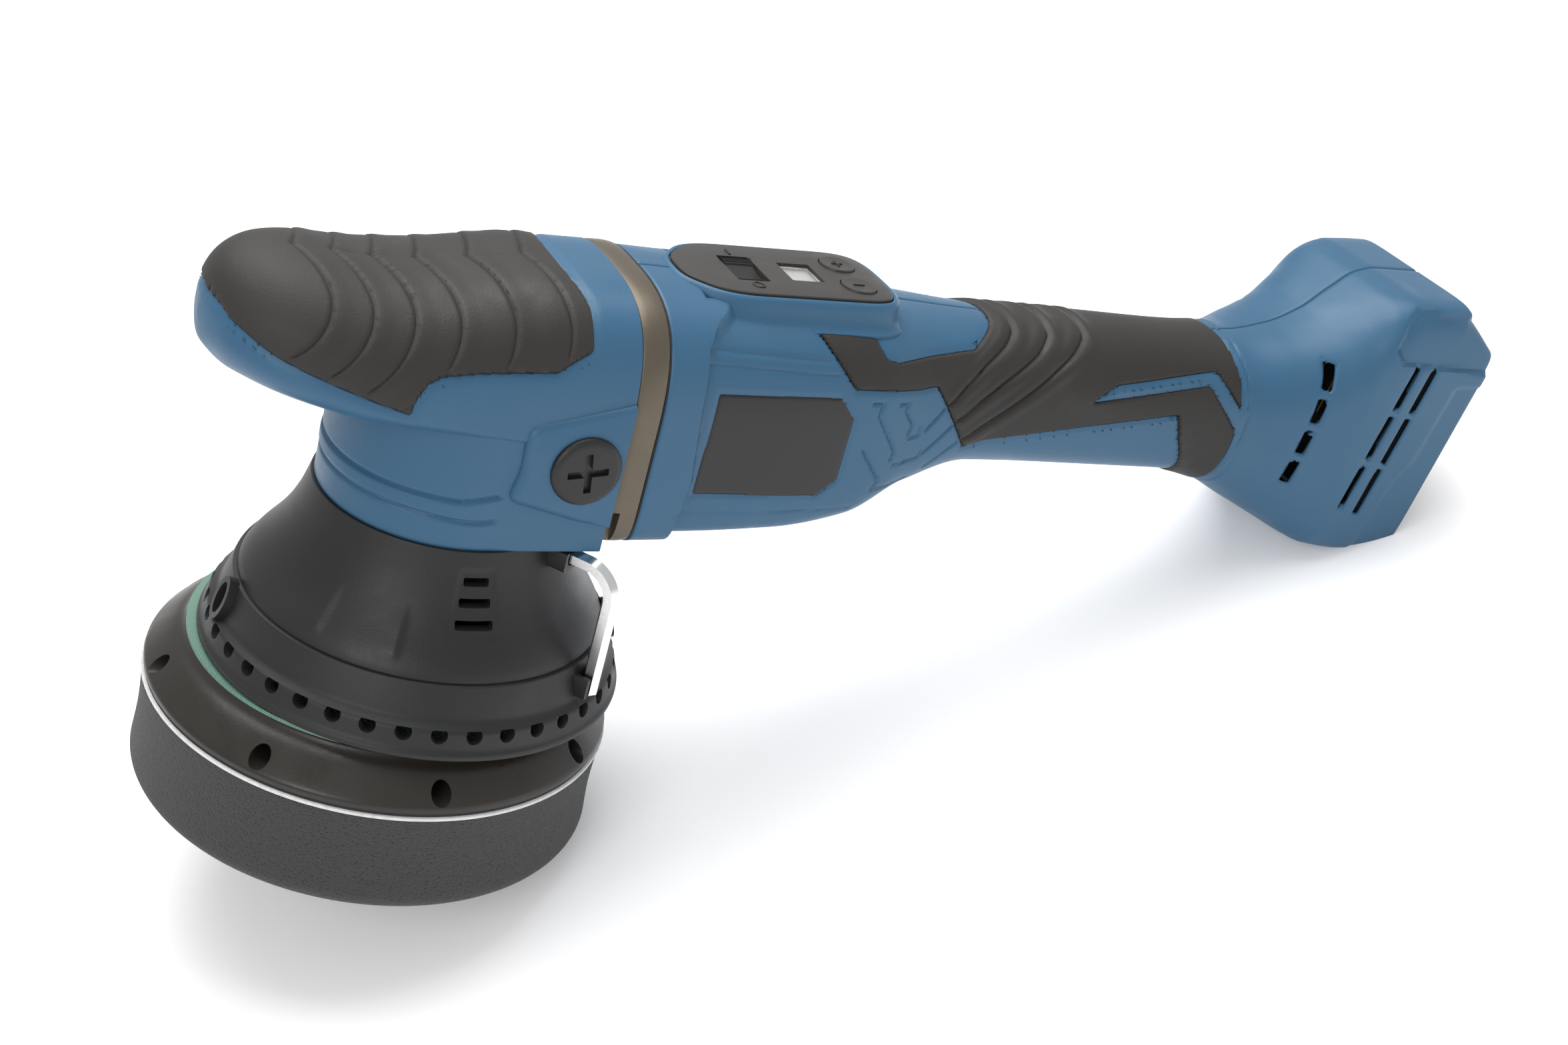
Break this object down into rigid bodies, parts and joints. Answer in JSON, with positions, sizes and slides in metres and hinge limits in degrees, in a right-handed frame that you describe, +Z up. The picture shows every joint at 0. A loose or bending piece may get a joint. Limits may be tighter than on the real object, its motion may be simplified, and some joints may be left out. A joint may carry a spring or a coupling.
{
  "type": "dual action polisher",
  "caption": "Cordless dual action polisher: foam pad on a free-spinning eccentric plate, vented shroud, duck-bill front grip, motor housing with panel, grip and battery foot.",
  "frame": {"origin": "on the drive spindle axis, in the plane of the foam pad working face", "axes": "+Z up the spindle, +X from the head towards the battery foot, the left half of the tool at +Y"},
  "size_m": [0.4614, 0.1508, 0.2096],
  "materials": {
    "pad_foam": "open-cell black finishing foam",
    "loop_fabric": "white brushed loop fabric",
    "hook_tape": "moulded hook tape",
    "plate_urethane": "satin moulded urethane",
    "fibreglass": "green-grey fibreglass board",
    "zinc_steel": "zinc plated",
    "ground_steel": "ground",
    "bearing_steel": "polished bearing steel",
    "spring_steel": "blackened",
    "cast_weight": "as cast, machined faces",
    "gear_steel": "cut teeth, oiled",
    "cast_alloy": "die cast",
    "grey_bronze_paint": "grey-bronze satin lacquer on die casting",
    "gasket_rubber": "moulded",
    "black_plastic": "fine spark texture",
    "nickel_steel": "bright nickel plated",
    "blue_plastic": "fine spark texture",
    "grip_rubber": "soft moulded grip, matt",
    "laminated_steel": "stacked laminations",
    "copper_wire": "enamelled copper",
    "badge_film": "blank satin film",
    "panel_plastic": "fine texture",
    "switch_plastic": "moulded",
    "display_lens": "clear lens over a grey unlit display",
    "display_white": "moulded",
    "dome_silicone": "translucent silicone",
    "circuit_board": "green solder mask",
    "terminal_brass": "tinned brass blades"
  },
  "bodies": {
    "housing": {"gear_case": "cast_alloy", "gearbox_flange": "grey_bronze_paint", "flange_gasket": "gasket_rubber", "flange_screws": "zinc_steel", "shroud_band": "black_plastic", "shroud_cover": "black_plastic", "head_housing": "blue_plastic", "front_grip": "grip_rubber", "left_plug": "black_plastic", "right_plug": "black_plastic", "spindle_bearing_outer_rings": "bearing_steel", "motor_bearing_outer_rings": "bearing_steel", "stator_core": "laminated_steel", "stator_windings": "copper_wire", "motor_can": "cast_alloy", "housing_left": "blue_plastic", "housing_right": "blue_plastic", "rear_grip": "grip_rubber", "label_badge": "badge_film", "control_panel": "panel_plastic", "panel_frame": "blue_plastic", "switch_body": "switch_plastic", "display_window": "display_lens", "display_module": "display_white", "plus_dome": "dome_silicone", "minus_dome": "dome_silicone", "panel_board": "circuit_board", "controller_board": "circuit_board", "battery_plate": "black_plastic", "battery_terminals": "terminal_brass", "housing_screws": "zinc_steel"},
    "eccentric": {"counterweight": "cast_weight", "output_spindle": "ground_steel", "crown_gear": "gear_steel", "gear_nut": "zinc_steel", "spindle_bearing_inner_rings": "bearing_steel", "pad_bearing_outer_rings": "bearing_steel"},
    "pad": {"pad_spindle": "ground_steel", "pad_bearing_inner_rings": "bearing_steel", "bearing_circlip": "spring_steel", "fibreglass_disc": "fibreglass", "backing_plate": "plate_urethane", "plate_bolt": "zinc_steel", "hook_disc": "hook_tape", "pad_loop_fabric": "loop_fabric", "foam_pad": "pad_foam"},
    "rotor": {"motor_shaft": "ground_steel", "rotor_core": "laminated_steel", "cooling_fan": "black_plastic", "pinion": "gear_steel", "motor_bearing_inner_rings": "bearing_steel"},
    "rocker": {"rocker_switch": "switch_plastic"},
    "plus": {"plus_button": "panel_plastic"},
    "minus": {"minus_button": "panel_plastic"},
    "key": {"hex_key": "nickel_steel"}
  },
  "joints": [
    {"name": "spindle_spin", "type": "hinge", "parent": "housing", "child": "eccentric", "pos_m": [0, 0, 0.1], "axis": [0, 0, 1], "continuous": true},
    {"name": "pad_spin", "type": "hinge", "parent": "eccentric", "child": "pad", "pos_m": [-0.0069, 0.00293, 0.07], "axis": [0, 0, 1], "continuous": true},
    {"name": "rotor_spin", "type": "hinge", "parent": "housing", "child": "rotor", "pos_m": [0.08, 0, 0.151], "axis": [1, 0, 0], "continuous": true},
    {"name": "rocker_tip", "type": "hinge", "parent": "housing", "child": "rocker", "pos_m": [0.0845, 0, 0.1866], "axis": [-1, 0, 0], "range_deg": [0, 14]},
    {"name": "plus_press", "type": "slide", "parent": "housing", "child": "plus", "axis": [0, 0, 1], "range_m": [-0.001, 0], "stiffness_N_per_m": 800, "springref_m": 0.0004, "deforming": ["plus_dome"]},
    {"name": "minus_press", "type": "slide", "parent": "housing", "child": "minus", "axis": [0, 0, 1], "range_m": [-0.001, 0], "stiffness_N_per_m": 800, "springref_m": 0.0004, "deforming": ["minus_dome"]},
    {"name": "key_pull", "type": "slide", "parent": "housing", "child": "key", "axis": [0.6428, -0.766, 0], "range_m": [0, 0.018]}
  ],
  "couplings": [
    {"joint": "rotor_spin", "follows": "spindle_spin", "ratio": 3}
  ]
}
